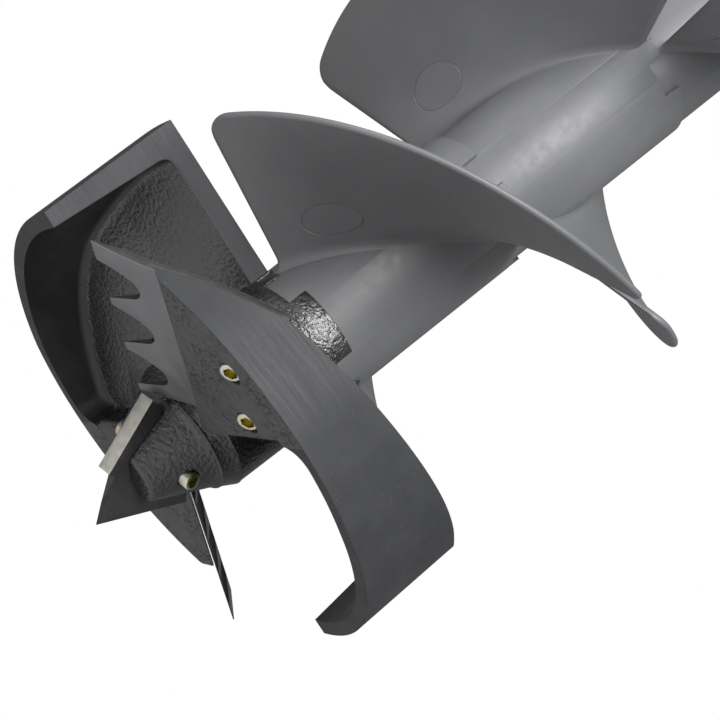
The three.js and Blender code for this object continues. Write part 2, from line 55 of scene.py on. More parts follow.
# Castellated joints and flight segments
LUG_COUNT = 4
TAB_ANGLE = 30.0
LUG_DEPTH = 7.8
GAP = 0.3
SEAM = 0.1
FIRST_JOINT = 107.0
TAB_CENTRE = 229.3
SEGMENT_COUNT = sum(name.startswith("flight_segment_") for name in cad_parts)
SEGMENT_PITCH = 88.0
SEGMENT_TWIST = 120.0
LEAD = 264.0
TUBE_BOTTOM_R = 27.0
TUBE_TOP_R = 28.4
TUBE_BORE_R = 23.5
FLIGHT_R = 92.7
FLIGHT_SPAN = 110.0
FLIGHT_START = -20.5
FLIGHT_LIFT = 4.0
FLIGHT_CORNER = 9.0
FLIGHT_EDGE_HALF = 1.5
FLIGHT_DRAFT = 0.55
STACK_TOP = FIRST_JOINT + SEGMENT_COUNT * SEGMENT_PITCH

# Cutting head, in a frame whose +X runs out along the cutting edge and whose +Y trails it
CUTTER_AZIMUTH = 232.7
SKIRT_R = 94.0
SKIRT_BOTTOM = 44.7
RIM_RISE = 3.2
RIM_RISE_START = 80.0
HUB_R = 27.7
HUB_WAIST_R = 26.2
HUB_WAIST = 50.0
HUB_BOTTOM = 43.6
HUB_CAVITY_R = 17.0
HUB_FLOOR = 62.0
NOSE_TOP_R = 22.4
NOSE_TIP_R = 11.5
NOSE_BOTTOM = 20.0
NOSE_SCREW_HEIGHT = 33.0
NOSE_SCREW_HEAD_R = 3.4
NOSE_SCREW_SEAT = 11.0
POINT_HALF = 3.0
WEDGE_FRONT = 13.0
SCOOP_START = 56.3
SCOOP_END = 144.9
WING_TOP = [(33.9, 68.0), (63.3, 76.5), (94.3, 85.7), (114.3, 91.0), (144.9, 107.0), (150.0, 109.7)]
WING_UNDERSIDE = [(50.0, 54.5), (56.3, 55.5), (89.0, 67.0), (108.0, 75.0), (120.0, 88.0),
                  (144.9, 99.0), (150.0, 101.5)]

# Serrated blades
BLADE_THICKNESS = 3.0
BLADE_HEIGHT = 41.3
BLADE_TILT = math.radians(26.5)
BLADE_SLOPE = math.tan(BLADE_TILT)
BLADE_REAR = 52.4
BLADE_REAR_X = 76.2
BLADE_INNER = 18.0
TOOTH_TIPS = (29.4, 51.2, 73.6, 101.0)
TOOTH_WIDTH = 3.4
OUTER_TOOTH_WIDTH = 9.0
TOOTH_Y = -6.6
GULLET_Y = 4.7
SCREW_SPOTS = ((66.5, 38.4), (42.9, 39.9))
SCREW_R = 2.5
SCREW_HEAD_R = 4.0
SCREW_HEAD_H = 5.0
BLADE_NUT_FLATS = 8.0
BLADE_NUT_H = 4.0

# Tie rod and drive end
TOTAL_LENGTH = 924.0
ROD_R = 6.0
ROD_BOTTOM = 50.3
CAP_TOP = STACK_TOP + 10
CAP_FLOOR = CAP_TOP + 5
SPIGOT_R = 17.0
SPIGOT_BORE_R = 12.0
SPIGOT_TOP = STACK_TOP + 50
WASHER_R = 11.0
WASHER_H = 2.5
NUT_FLATS = 19.0
NUT_H = 10.0
CUP_R = 21.0
CUP_TOP = SPIGOT_TOP + 9
BOSS_R = 12.0
BOSS_TOP = CUP_TOP + 14
SHANK_FLATS = 12.7
SHANK_ROOT_R = 5.8
SHANK_CHAMFER = 1.2
PIN_R = 2.0
PIN_HEIGHT = CUP_TOP + 7
BUTTON_HEIGHT = STACK_TOP + 38
BUTTON_R = 4.0
BUTTON_REACH = 22.8


# ---- mesh helpers ----

def polar(radius, angle, z):
    """A point from its distance to Z, its angle in radians and its height."""
    return radius * math.cos(angle), radius * math.sin(angle), z


def turned(points, degrees):
    """The points turned about Z."""
    c, s = math.cos(math.radians(degrees)), math.sin(math.radians(degrees))
    return np.asarray(points, float) @ np.array([[c, s, 0], [-s, c, 0], [0, 0, 1]])


def linked(name, data):
    """A new object in the scene."""
    obj = bpy.data.objects.new(name, data)
    bpy.context.scene.collection.objects.link(obj)
    return obj


def mesh_object(name, points, faces, turn=0.0):
    """An object from points in millimetres, turned about Z."""
    placed = turned(points, turn) * MM
    placed[:, 2] += TIP_Z
    mesh = bpy.data.meshes.new(name)
    mesh.from_pydata(placed.tolist(), [], faces)
    mesh.validate()
    obj = linked(name, mesh)
    tidy_normals(obj, 35.0)
    return obj


def tidy_normals(obj, sharp):
    """Faces outward and shaded smooth up to an angle."""
    work = bmesh.new()
    work.from_mesh(obj.data)
    bmesh.ops.remove_doubles(work, verts=work.verts, dist=1e-6)
    bmesh.ops.recalc_face_normals(work, faces=work.faces)
    work.to_mesh(obj.data)
    work.free()
    obj.data.shade_smooth()
    obj.data.set_sharp_from_angle(angle=math.radians(sharp))


def loft(rings, caps=True):
    """Points and faces that join rings of equal length, with flat ends."""
    count = len(rings[0])
    points = [p for ring in rings for p in ring]
    faces = []
    for i in range(len(rings) - 1):
        for j in range(count):
            k = (j + 1) % count
            faces.append((i * count + j, i * count + k, (i + 1) * count + k, (i + 1) * count + j))
    if caps:
        faces.append(tuple(reversed(range(count))))
        faces.append(tuple(range((len(rings) - 1) * count, len(rings) * count)))
    return points, faces


def lathe(profile, steps=96):
    """A closed profile of (radius, height) spun about Z."""
    points, faces = [], []
    count = len(profile)
    for i in range(steps):
        a = 2 * math.pi * i / steps
        points += [polar(r, a, z) for r, z in profile]
    for i in range(steps):
        for j in range(count):
            k = (j + 1) % count
            n = (i + 1) % steps
            if profile[j][0] < 1e-6 and profile[k][0] < 1e-6:
                continue
            faces.append((i * count + j, n * count + j, n * count + k, i * count + k))
    return points, faces


def closed_loft(rings):
    """Rings joined all the way round, the last one to the first."""
    return loft(rings + [rings[0]], caps=False)


def rounded(corners, radii, steps=4):
    """A closed outline with each corner replaced by an arc of its radius."""
    out = []
    total = len(corners)
    for i, corner in enumerate(corners):
        radius = radii[i] if hasattr(radii, "__len__") else radii
        c = Vector(corner)
        if radius <= 0:
            out.append(tuple(c))
            continue
        a = Vector(corners[i - 1]) - c
        b = Vector(corners[(i + 1) % total]) - c
        half = a.angle(b) / 2
        if half > math.radians(89.5):
            short = 0.1 * min(a.length, b.length)
            ends = c + a.normalized() * short, c + b.normalized() * short
            out += [tuple(ends[0].lerp(ends[1], k / steps)) for k in range(steps + 1)]
            continue
        reach = min(radius / math.tan(half), 0.45 * a.length, 0.45 * b.length)
        radius = reach * math.tan(half)
        centre = c + (a.normalized() + b.normalized()).normalized() * (radius / math.sin(half))
        start = c + a.normalized() * reach - centre
        turn = math.pi - 2 * half
        to_corner = c - centre
        side = 1 if start.x * to_corner.y - start.y * to_corner.x > 0 else -1
        for k in range(steps + 1):
            t = side * turn * k / steps
            x = start.x * math.cos(t) - start.y * math.sin(t)
            y = start.x * math.sin(t) + start.y * math.cos(t)
            out.append((centre.x + x, centre.y + y))
    return out


def prism(outline, bottom, top):
    """Points and faces of an outline in XY raised between two heights."""
    rings = [[(x, y, bottom) for x, y in outline], [(x, y, top) for x, y in outline]]
    return loft(rings)


def sector(middle, width, inner, outer, bottom, top, steps=12):
    """A block bent round Z, centred on an azimuth."""
    rings = []
    for i in range(steps + 1):
        a = math.radians(middle + width * (i / steps - 0.5))
        corners = (inner, bottom), (outer, bottom), (outer, top), (inner, top)
        rings.append([polar(r, a, z) for r, z in corners])
    return loft(rings)


def box_points(low, high):
    (x0, y0, z0), (x1, y1, z1) = low, high
    return prism([(x0, y0), (x1, y0), (x1, y1), (x0, y1)], z0, z1)


def bar_along_x(outline, low, high):
    """An outline in YZ drawn out between two X."""
    return loft([[(x, y, z) for y, z in outline] for x in (low, high)])


def bar_along_y(outline, low, high):
    """An outline in XZ drawn out between two Y."""
    return loft([[(x, y, z) for x, z in outline] for y in (low, high)])


def lifted(height):
    return Matrix.Translation((0, 0, height))


def moved(part, matrix):
    """Points and faces with the points moved by a 4x4 matrix."""
    points, faces = part
    return [tuple(matrix @ Vector(p)) for p in points], faces


def gathered(parts):
    """Several closed parts as one list of points and faces."""
    points, faces = [], []
    for more_points, more_faces in parts:
        start = len(points)
        points += [tuple(p) for p in more_points]
        faces += [tuple(i + start for i in face) for face in more_faces]
    return points, faces


def bake(obj):
    """Replaces an object's mesh by the result of its modifiers."""
    bpy.context.view_layer.update()
    graph = bpy.context.evaluated_depsgraph_get()
    mesh = bpy.data.meshes.new_from_object(obj.evaluated_get(graph))
    obj.modifiers.clear()
    obj.data = mesh


def combine(obj, tool, operation):
    """Cuts, joins or limits an object by another one, which is used up."""
    mod = obj.modifiers.new("boolean", "BOOLEAN")
    mod.operation = operation
    mod.solver = "MANIFOLD"
    mod.object = tool
    bake(obj)
    bpy.data.objects.remove(tool)


def boolean(obj, part, operation, turn=0.0):
    """Cuts, joins or limits an object by a closed part given in millimetres."""
    combine(obj, mesh_object("tool", *part, turn=turn), operation)


def cut(obj, part, turn=0.0):
    boolean(obj, part, "DIFFERENCE", turn)


def bevel(obj, width, angle=40.0):
    mod = obj.modifiers.new("bevel", "BEVEL")
    mod.width = width * MM
    mod.segments = 2
    mod.limit_method = "ANGLE"
    mod.angle_limit = math.radians(angle)
    bake(obj)


def mix(a, b, t):
    return a + (b - a) * t


def smoothstep(t):
    t = min(max(t, 0.0), 1.0)
    return t * t * (3 - 2 * t)


def height_at(points, degrees):
    """A height along straight stretches, eased where they meet."""
    def straight(x):
        return float(np.interp(x, [p[0] for p in points], [p[1] for p in points]))
    return sum(straight(degrees + d) for d in (-5, -2.5, 0, 2.5, 5)) / 5


# ---- materials ----

class Shader:
    """A Principled material with short calls for its procedural parts."""

    def __init__(self, name, color, roughness, metallic=0.0):
        self.material = bpy.data.materials.new(name)
        self.material.use_nodes = True
        self.tree = self.material.node_tree
        self.main = self.tree.nodes["Principled BSDF"]
        self.main.inputs["Base Color"].default_value = (*color, 1)
        self.main.inputs["Roughness"].default_value = roughness
        self.main.inputs["Metallic"].default_value = metallic
        self.material.diffuse_color = (*color, 1)
        self.coords = self.node("ShaderNodeTexCoord").outputs["Object"]
        self.normal = None

    def node(self, kind, **settings):
        made = self.tree.nodes.new(kind)
        for key, value in settings.items():
            setattr(made, key, value)
        return made

    def link(self, source, target):
        self.tree.links.new(source, target)

    def scaled(self, scale):
        mapping = self.node("ShaderNodeMapping")
        mapping.inputs["Scale"].default_value = scale
        self.link(self.coords, mapping.inputs["Vector"])
        return mapping.outputs["Vector"]

    def noise(self, scale, detail=4.0, rough=0.5, vector=None):
        made = self.node("ShaderNodeTexNoise")
        made.inputs["Scale"].default_value = scale
        made.inputs["Detail"].default_value = detail
        made.inputs["Roughness"].default_value = rough
        self.link(vector or self.coords, made.inputs["Vector"])
        return made.outputs["Fac"]

    def ramp(self, source, low, high, out_low=0.0, out_high=1.0):
        made = self.node("ShaderNodeMapRange")
        made.inputs["From Min"].default_value = low
        made.inputs["From Max"].default_value = high
        made.inputs["To Min"].default_value = out_low
        made.inputs["To Max"].default_value = out_high
        self.link(source, made.inputs["Value"])
        return made.outputs["Result"]

    def blend(self, factor, first, second):
        """A colour between two colours, or between the outputs of two nodes."""
        made = self.node("ShaderNodeMix", data_type="RGBA")
        self.link(factor, made.inputs["Factor"])
        for socket, value in ((made.inputs[6], first), (made.inputs[7], second)):
            if isinstance(value, tuple):
                socket.default_value = (*value, 1)
            else:
                self.link(value, socket)
        return made.outputs[2]

    def math(self, operation, first, second):
        made = self.node("ShaderNodeMath", operation=operation)
        for socket, value in ((made.inputs[0], first), (made.inputs[1], second)):
            if isinstance(value, (int, float)):
                socket.default_value = value
            else:
                self.link(value, socket)
        return made.outputs[0]

    def edge_rounding(self, radius):
        made = self.node("ShaderNodeBevel", samples=4)
        made.inputs["Radius"].default_value = radius * MM
        self.normal = made.outputs["Normal"]
        self.link(self.normal, self.main.inputs["Normal"])

    def bump(self, height, strength, distance):
        made = self.node("ShaderNodeBump")
        made.inputs["Strength"].default_value = strength
        made.inputs["Distance"].default_value = distance * MM
        self.link(height, made.inputs["Height"])
        if self.normal is not None:
            self.link(self.normal, made.inputs["Normal"])
        self.normal = made.outputs["Normal"]
        self.link(self.normal, self.main.inputs["Normal"])

    def colour(self, source):
        self.link(source, self.main.inputs["Base Color"])

    def mottled(self, noise, low, high, first, second):
        """A base colour that drifts between two colours."""
        self.colour(self.blend(self.ramp(self.noise(*noise), low, high), first, second))

    def roughness(self, source, first, second):
        """A roughness that follows a noise between two values."""
        self.link(self.ramp(source, 0.3, 0.7, first, second), self.main.inputs["Roughness"])


def cast_iron():
    """Black-coated sand casting, glossy over a pebbled grain."""
    s = Shader("cast_iron_black", (0.02, 0.0205, 0.0215), 0.4)
    s.main.inputs["Specular IOR Level"].default_value = 1.0
    s.edge_rounding(0.5)
    pebble = s.noise(620, 3, 0.5)
    grain = s.noise(2600, 2, 0.5)
    s.bump(pebble, 0.6, 0.9)
    s.bump(grain, 0.3, 0.3)
    s.mottled((60, 3, 0.5), 0.35, 0.7, (0.01, 0.0102, 0.0105), (0.024, 0.0245, 0.025))
    s.roughness(pebble, 0.18, 0.34)
    return s.material


def turned_iron():
    """Black-coated turned face: fine rings round the head, with pale pin dots."""
    s = Shader("cast_iron_turned", (0.036, 0.037, 0.039), 0.6)
    s.main.inputs["Specular IOR Level"].default_value = 0.35
    s.edge_rounding(0.5)
    rings = s.noise(2400, 3, 0.6, s.scaled((0.02, 0.02, 1.0)))
    pits = s.noise(900, 3, 0.6)
    s.bump(rings, 0.25, 0.08)
    s.bump(s.ramp(pits, 0.66, 0.74), 0.5, 0.3)
    patch = s.ramp(s.noise(40, 4, 0.6), 0.3, 0.7)
    tone = s.blend(patch, (0.03, 0.031, 0.033), (0.046, 0.047, 0.05))
    s.colour(s.blend(s.ramp(pits, 0.66, 0.74), tone, (0.09, 0.09, 0.092)))
    s.roughness(rings, 0.5, 0.68)
    return s.material


def lit_pitted_iron():
    """Flat cast face, dull grey-black, with small pits that are darker; its base colour is lighter
    than the rest of the casting's, as painted light on the underside.
    """
    s = Shader("cast_iron_pitted_lit", (0.07, 0.071, 0.073), 0.55)
    s.main.inputs["Specular IOR Level"].default_value = 0.4
    s.edge_rounding(0.5)
    pits = s.ramp(s.noise(700, 2, 0.6), 0.4, 0.47)
    area = s.ramp(s.noise(55, 2, 0.5), 0.42, 0.6)
    depth = s.math("MAXIMUM", pits, area)
    s.bump(depth, 0.9, 0.35)
    s.bump(s.noise(1300, 2, 0.5), 0.35, 0.3)
    s.colour(s.blend(depth, (0.03, 0.031, 0.032), (0.075, 0.076, 0.078)))
    s.roughness(s.noise(300, 3, 0.6), 0.46, 0.62)
    return s.material


def smooth_shaded_iron():
    """The scoop's inner wall, where the coating has run smooth and glossy, with a base colour
    darker than the casting's as painted shade inside the scoop.
    """
    s = Shader("cast_iron_smooth_shaded", (0.009, 0.0092, 0.0098), 0.36)
    s.bump(s.noise(500, 3, 0.5), 0.12, 0.25)
    s.mottled((70, 3, 0.5), 0.35, 0.7, (0.007, 0.0072, 0.0076), (0.013, 0.0134, 0.014))
    s.roughness(s.noise(200, 3, 0.5), 0.3, 0.42)
    return s.material


def blade_steel():
    """Satin grey spring steel, with grinding lines across the blade."""
    s = Shader("blade_steel", (0.17, 0.172, 0.178), 0.45, 0.35)
    s.edge_rounding(0.2)
    lines = s.noise(500, 3, 0.6, s.scaled((0.06, 1.0, 1.0)))
    s.bump(lines, 0.08, 0.06)
    s.mottled((70, 4, 0.6), 0.3, 0.7, (0.15, 0.152, 0.157), (0.19, 0.192, 0.198))
    s.roughness(lines, 0.4, 0.52)
    return s.material


def blade_edge():
    """Darker cut edge of the blades, with lines along the cut."""
    s = Shader("blade_edge", (0.022, 0.0222, 0.0228), 0.35, 0.3)
    s.edge_rounding(0.15)
    lines = s.noise(700, 3, 0.6, s.scaled((1.0, 1.0, 0.1)))
    s.bump(lines, 0.1, 0.08)
    s.mottled((120, 4, 0.6), 0.3, 0.7, (0.016, 0.0162, 0.0166), (0.03, 0.0303, 0.031))
    s.roughness(lines, 0.34, 0.5)
    return s.material


def bare_steel():
    """Freshly ground edge of the point, a little warm."""
    s = Shader("bare_steel", (0.55, 0.53, 0.48), 0.42, 0.8)
    s.edge_rounding(0.2)
    lines = s.noise(900, 3, 0.6, s.scaled((1.0, 1.0, 0.1)))
    s.bump(lines, 0.2, 0.1)
    s.mottled((260, 4, 0.6), 0.35, 0.65, (0.46, 0.44, 0.39), (0.62, 0.6, 0.55))
    s.roughness(lines, 0.36, 0.52)
    return s.material


def dark_plate():
    """Black-coated plate of the point's broad faces."""
    s = Shader("point_black", (0.045, 0.045, 0.047), 0.4, 0.2)
    s.edge_rounding(0.25)
    s.bump(s.noise(700, 3, 0.6), 0.12, 0.15)
    s.mottled((90, 4, 0.6), 0.35, 0.65, (0.035, 0.035, 0.037), (0.06, 0.06, 0.062))
    s.roughness(s.noise(160, 3, 0.5), 0.34, 0.48)
    return s.material


def plating(name, look, first, second, size, gloss):
    """Thin metal plating that drifts between two tones; `look` is its colour and roughness."""
    s = Shader(name, *look, 1.0)
    s.edge_rounding(0.15)
    s.mottled((size, 2, 0.5), 0.35, 0.65, first, second)
    s.roughness(s.noise(800, 2, 0.5), gloss, 0.36)
    return s.material


def yellow_zinc():
    """Yellow passivated zinc, shifting a little towards green and amber."""
    return plating("yellow_zinc", ((0.5, 0.42, 0.14), 0.26), (0.48, 0.52, 0.13), (0.6, 0.48, 0.16),
                   420, 0.2)


def pale_zinc_sheen():
    """The same plating made pale on a screw's rim, as a painted highlight."""
    return plating("yellow_zinc_painted_sheen", ((0.72, 0.68, 0.56), 0.28), (0.74, 0.74, 0.7),
                   (0.74, 0.64, 0.42), 300, 0.22)


def zinc_steel():
    """Bright zinc plate."""
    s = Shader("zinc_steel", (0.66, 0.67, 0.69), 0.28, 1.0)
    s.edge_rounding(0.2)
    s.mottled((160, 3, 0.5), 0.35, 0.65, (0.58, 0.59, 0.61), (0.74, 0.75, 0.77))
    s.roughness(s.noise(500, 3, 0.6, s.scaled((1.0, 1.0, 0.15))), 0.2, 0.38)
    return s.material


def black_steel():
    """Satin black oxide."""
    s = Shader("black_steel", (0.035, 0.035, 0.037), 0.36, 0.6)
    s.edge_rounding(0.25)
    rings = s.noise(900, 2, 0.6, s.scaled((0.03, 0.03, 1.0)))
    s.bump(rings, 0.15, 0.08)
    s.mottled((120, 3, 0.5), 0.35, 0.65, (0.028, 0.028, 0.03), (0.05, 0.05, 0.053))
    s.roughness(rings, 0.28, 0.42)
    return s.material


def flight_plastic():
    """Grey moulded nylon: satin, with a faint mottled skin."""
    s = Shader("flight_plastic", (0.14, 0.142, 0.146), 0.46)
    mottle = s.noise(900, 3, 0.6)
    s.bump(mottle, 0.1, 0.12)
    s.mottled((30, 4, 0.6), 0.3, 0.7, (0.128, 0.13, 0.134), (0.152, 0.154, 0.158))
    s.roughness(s.noise(260, 4, 0.6), 0.4, 0.54)
    return s.material


CAST = cast_iron()
TURNED = turned_iron()
PITTED_LIT = lit_pitted_iron()
SMOOTH = smooth_shaded_iron()
BLADE = blade_steel()
BLADE_EDGE = blade_edge()
BARE = bare_steel()
DARK_PLATE = dark_plate()
YELLOW = yellow_zinc()
PALE_ZINC_SHEEN = pale_zinc_sheen()
ZINC = zinc_steel()
BLACK = black_steel()
PLASTIC = flight_plastic()


def finish_piece(obj, body, nodes, slot, *materials):
    """Gives a piece its materials, hides the CAD parts it replaces and attaches it to the body it
    moves with.
    """
    obj.data.materials.clear()
    for material in materials:
        obj.data.materials.append(material)
    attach(obj, body)
    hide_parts(*nodes)


def paint_faces(obj, index, test):
    """Uses a material slot on faces whose centre and normal, in millimetres from the tip, pass."""
    for face in obj.data.polygons:
        centre = Vector(face.center) / MM
        centre.z -= TIP_Z / MM
        if test(centre, face.normal):
            face.material_index = index


# ---- cutting head ----

def tilt_matrix():
    return lifted(BLADE_HEIGHT) @ Matrix.Rotation(BLADE_TILT, 4, "X")


def slant(y):
    return y / math.cos(BLADE_TILT)


def seat_height(y):
    return BLADE_HEIGHT + BLADE_SLOPE * y


def wing_top(radius, angle):
    """Top of the wing: level with the blade at first, then a helix that meets the flights."""
    helix = height_at(WING_TOP, angle)
    slope = seat_height(radius * math.sin(math.radians(angle))) + BLADE_THICKNESS
    return mix(min(slope, helix), helix, smoothstep((angle - SCOOP_START) / 35.0))


def rim_height(angle):
    rise = (angle - RIM_RISE_START) / (SCOOP_END - RIM_RISE_START)
    return SKIRT_BOTTOM + RIM_RISE * max(0.0, rise)


def wing_section(angle):
    """Outline in (radius, height) of the scoop's floor with its skirt."""
    under = height_at(WING_UNDERSIDE, angle)
    along = (angle - SCOOP_START) / (SCOOP_END - SCOOP_START)
    from_wedge = min(max(math.radians(angle - SCOOP_START) * SKIRT_R / 10.0, 0.0), 1.0)
    fillet = 9.0 * (1 - math.sqrt(1 - (1 - from_wedge) ** 2))
    rim_wall = 4.0 + 2.0 * along + fillet
    near_hub = min(under, wing_top(30.0, angle) - 8.0)
    mid = min(under, wing_top(55.0, angle) - 8.0)
    bottom = SKIRT_BOTTOM - 3.5
    outline = [
        (SKIRT_R + 3, bottom),
        (SKIRT_R + 3, wing_top(SKIRT_R, angle)),
        (62.0, wing_top(62.0, angle)),
        (40.0, wing_top(40.0, angle)),
        (22.0, wing_top(26.0, angle)),
        (22.0, near_hub),
        (40.0, mix(near_hub, mid, 0.4)),
        (60.0, mid),
        (SKIRT_R - 8.7 - 1.3 * along - fillet, under),
        (SKIRT_R - rim_wall, bottom),
    ]
    radii = [0, 0, 12, 12, 0, 0, 12, 12, 4.5, 0]
    return rounded(outline, radii, 5)


def wing_part():
    rings = []
    for angle in np.arange(SCOOP_START - 5, SCOOP_END + 4, 1.5):
        a = math.radians(angle)
        rings.append([polar(r, a, z) for r, z in wing_section(angle)])
    return loft(rings)


def wedge_part():
    """Solid wedge under the blade, thin along its front edge."""
    front = math.degrees(math.asin(WEDGE_FRONT / (SKIRT_R + 3)))
    outline = [(21.0, WEDGE_FRONT)]
    for angle in np.linspace(front, SCOOP_START, 40):
        outline.append(polar(SKIRT_R + 3, math.radians(angle), 0)[:2])
    outline.append(polar(22, math.radians(SCOOP_START), 0)[:2])
    return prism(outline, SKIRT_BOTTOM, 96.0)


def wedge_rear_part():
    """Rounds the edge between the wedge's underside and the scoop's front wall."""
    back, rise = 7.0, 3.6
    arc = [(back * (math.sin(a) - 1), SKIRT_BOTTOM + rise * (1 - math.cos(a)))
           for a in np.linspace(0, math.pi / 2, 9)]
    profile = [(-back, 30)] + arc + [(6, SKIRT_BOTTOM + rise), (6, 30)]
    points, faces = bar_along_x(profile, 18, 88)
    return turned(points, SCOOP_START).tolist(), faces


def rim_cut_part():
    """Everything below the skirt's rim, which rises towards the trailing edge."""
    rings = []
    for angle in np.arange(SCOOP_START - 8, SCOOP_END + 6, 2.0):
        a = math.radians(angle)
        top = rim_height(angle)
        rings.append([polar(r, a, z) for r, z in ((66, 20), (120, 20), (120, top), (66, top))])
    return loft(rings)


def front_feather_part():
    """Everything below a slope that thins the wedge to its front edge."""
    start, reach = WEDGE_FRONT, 4.7
    profile = [(-110, 10), (start + reach, 10), (start + reach, SKIRT_BOTTOM - 0.1),
               (start, seat_height(start) - 0.5), (-110, seat_height(start) - 0.5)]
    return bar_along_x(profile, -110, 110)


def above_seat_part():
    """Everything above the blade's seat and the gentler slope behind it."""
    rear = BLADE_REAR + 1
    profile = [
        (-110, seat_height(-110) - GAP),
        (rear, seat_height(rear) - GAP),
        (105, seat_height(rear) - GAP + 0.22 * (105 - rear)),
        (105, 200),
        (-110, 200),
    ]
    return bar_along_x(profile, -110, 110)


def half_turns(parts):
    """The parts, and the same parts turned half a turn about Z."""
    both = []
    for points, faces in parts:
        both.append((points, faces))
        both.append((turned(points, 180.0).tolist(), faces))
    return both


def blade_pocket_part():
    """Room for the blade on its seat."""
    outline = [
        (22 - GAP, -30), (110, -30), (110, slant(BLADE_REAR + 0.5)),
        (BLADE_INNER - GAP, slant(BLADE_REAR + 0.5)),
        (BLADE_INNER - GAP, slant(23.7)), (22 - GAP, slant(13.5)),
    ]
    return moved(prism(outline, -GAP, 30.0), tilt_matrix())


def screw_place(spot):
    return tilt_matrix() @ Matrix.Translation((spot[0], slant(spot[1]), 0))


def screw_face(spot):
    """Where a blade screw's head ends, along its centre line below the blade."""
    return -(seat_height(spot[1]) - SKIRT_BOTTOM) / math.cos(BLADE_TILT)


def screw_hole_part(spot):
    shoulder = screw_face(spot) + SCREW_HEAD_H + GAP
    hole, counterbore = SCREW_R + GAP, SCREW_HEAD_R + GAP
    profile = [(0, shoulder - 20), (counterbore, shoulder - 20), (counterbore, shoulder),
               (hole, shoulder), (hole, 12), (0, 12)]
    return moved(lathe(profile, 40), screw_place(spot))


def remesh(obj, voxel, smooth):
    mod = obj.modifiers.new("remesh", "REMESH")
    mod.mode = "VOXEL"
    mod.voxel_size = voxel * MM
    mod.adaptivity = 0.0
    relax = obj.modifiers.new("smooth", "SMOOTH")
    relax.factor = 0.5
    relax.iterations = smooth
    bake(obj)


